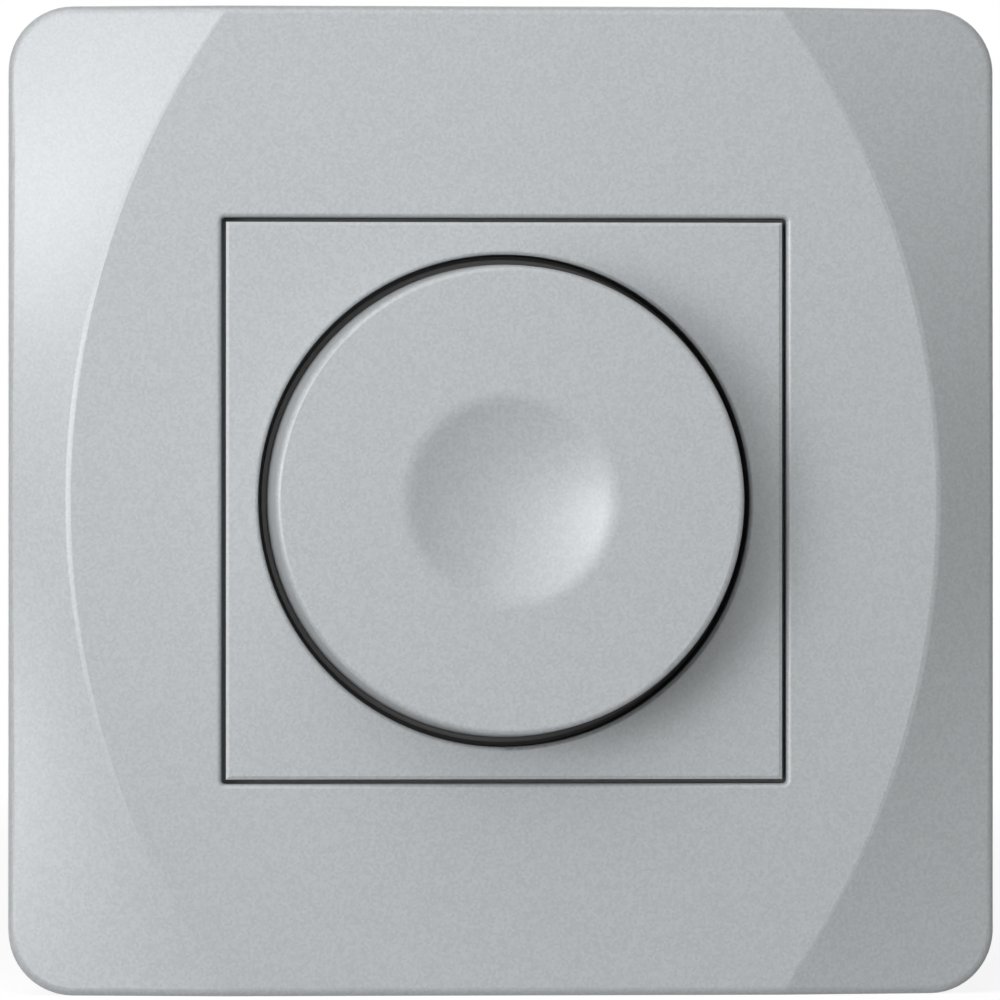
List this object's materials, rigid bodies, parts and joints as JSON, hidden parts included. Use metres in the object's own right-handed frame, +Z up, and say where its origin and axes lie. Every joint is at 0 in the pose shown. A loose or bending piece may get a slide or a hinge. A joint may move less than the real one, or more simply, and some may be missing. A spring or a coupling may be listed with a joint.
{
  "type": "dimmer switch",
  "caption": "Square flush wall dimmer with a crowned silver cover frame, a square centre plate and a round push-and-turn knob with a finger dimple.",
  "frame": {"origin": "on the wall's surface, at the centre between the two box screws, which is also the knob's axis", "axes": "+X right, +Y into the wall, +Z up; the front faces -Y"},
  "size_m": [0.08, 0.041, 0.08],
  "materials": {
    "silver_lacquer": "silver metallic lacquer on moulded plastic, satin",
    "zinc_steel": "bright zinc plating",
    "spring_steel": "plain spring steel",
    "housing_plastic": "dark grey moulded plastic, fine matt",
    "aluminium_sheet": "mill finish",
    "nickel_brass": "nickel plated",
    "brass": "bare stamped brass",
    "copper_wire": "enamelled copper wire",
    "black_plastic": "black moulded plastic",
    "ivory_plastic": "natural moulded plastic",
    "board_laminate": "resin laminate",
    "track_laminate": "laminate with carbon track",
    "pad_silicone": "thin insulating sheet",
    "ferrite": "pressed iron powder, varnished",
    "capacitor_case": "moulded yellow case",
    "capacitor_dip": "dipped resin",
    "resistor_body": "lacquered ceramic",
    "diac_body": "lacquered glass body",
    "fuse_glass": "clear glass tube"
  },
  "bodies": {
    "base": {"cover_frame": "silver_lacquer", "centre_plate": "silver_lacquer", "plate_nut": "black_plastic", "bush_nut": "nickel_brass", "lock_washer": "zinc_steel", "support_plate": "zinc_steel", "housing": "housing_plastic", "housing_screws": "zinc_steel", "heat_sink": "aluminium_sheet", "pot_bush": "nickel_brass", "pot_case": "black_plastic", "pot_track": "track_laminate", "pot_pins": "nickel_brass", "switch_case": "black_plastic", "switch_contacts": "brass", "switch_spring": "spring_steel", "circuit_board": "board_laminate", "triac": "black_plastic", "triac_pad": "pad_silicone", "triac_screw": "zinc_steel", "choke_core": "ferrite", "choke_winding": "copper_wire", "film_capacitor": "capacitor_case", "timing_capacitor": "capacitor_dip", "diac": "diac_body", "resistors": "resistor_body", "fuse_tube": "fuse_glass", "fuse_caps": "nickel_brass", "fuse_clips": "brass", "terminal_cages": "brass", "terminal_screws": "zinc_steel"},
    "plunger": {"switch_plunger": "ivory_plastic", "switch_bridge": "brass"},
    "knob": {"rotary_knob": "silver_lacquer", "knob_spring_clip": "spring_steel", "pot_shaft": "aluminium_sheet"},
    "wiper": {"pot_rotor": "ivory_plastic", "pot_wiper": "brass"},
    "claw_left": {"claw_left": "zinc_steel", "claw_screw_left": "zinc_steel"},
    "claw_right": {"claw_right": "zinc_steel", "claw_screw_right": "zinc_steel"}
  },
  "joints": [
    {"name": "knob_push", "type": "slide", "parent": "base", "child": "plunger", "axis": [0, 1, 0], "range_m": [0, 0.0015], "stiffness_N_per_m": 1500, "springref_m": -0.002, "deforming": ["switch_spring"]},
    {"name": "knob_turn", "type": "hinge", "parent": "plunger", "child": "knob", "pos_m": [0, 0, 0], "axis": [0, 1, 0], "range_deg": [0, 270]},
    {"name": "wiper_turn", "type": "hinge", "parent": "base", "child": "wiper", "pos_m": [0, 0, 0], "axis": [0, 1, 0], "range_deg": [0, 270]},
    {"name": "claw_left_swing", "type": "hinge", "parent": "base", "child": "claw_left", "pos_m": [-0.026, 0.0015, 0], "axis": [0, 0, 1], "range_deg": [0, 12]},
    {"name": "claw_right_swing", "type": "hinge", "parent": "base", "child": "claw_right", "pos_m": [0.026, 0.0015, 0], "axis": [0, 0, -1], "range_deg": [0, 12]}
  ],
  "couplings": [
    {"joint": "wiper_turn", "follows": "knob_turn", "ratio": 1}
  ]
}
